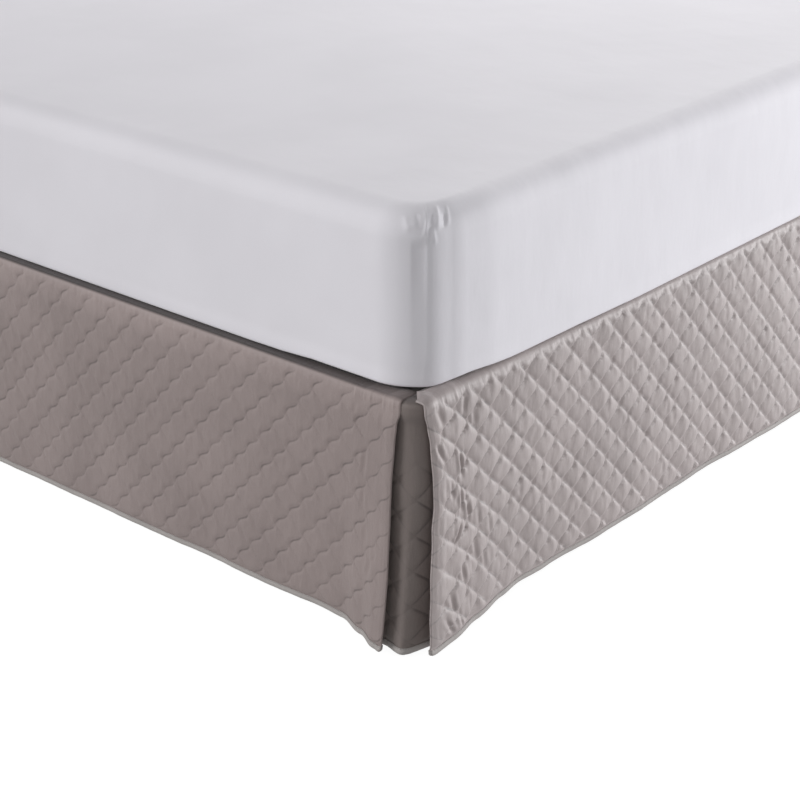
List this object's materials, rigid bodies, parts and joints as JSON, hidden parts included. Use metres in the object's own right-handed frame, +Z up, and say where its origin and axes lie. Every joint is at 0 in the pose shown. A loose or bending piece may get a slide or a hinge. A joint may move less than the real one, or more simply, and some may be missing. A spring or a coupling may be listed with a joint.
{
  "type": "bed skirt on a bed base with a mattress",
  "caption": "Quilted three-sided bed skirt with split foot corners and inserts, hanging from its deck cloth on a plain bed base under a plain mattress.",
  "frame": {"origin": "on the floor, under the centre of the whole bed's outline", "axes": "+Z up, +Y towards the head end, +X to the right when seen from the foot end"},
  "size_m": [1.5684, 2.0724, 0.6519],
  "materials": {
    "cover": "matte",
    "ticking": "matte",
    "wood": "satin",
    "deck": "matte",
    "quilt": "soft sheen",
    "binding": "soft sheen"
  },
  "bodies": {
    "root": {"mattress": "cover", "foundation": "ticking", "leg_1": "wood", "leg_2": "wood", "leg_3": "wood", "leg_4": "wood", "leg_5": "wood", "leg_6": "wood", "deck": "deck", "panel_foot": "quilt", "panel_right": "quilt", "panel_left": "quilt", "insert_right": "quilt", "insert_left": "quilt", "binding_foot": "binding", "binding_right": "binding", "binding_left": "binding", "binding_insert_right": "binding", "binding_insert_left": "binding"}
  },
  "joints": []
}
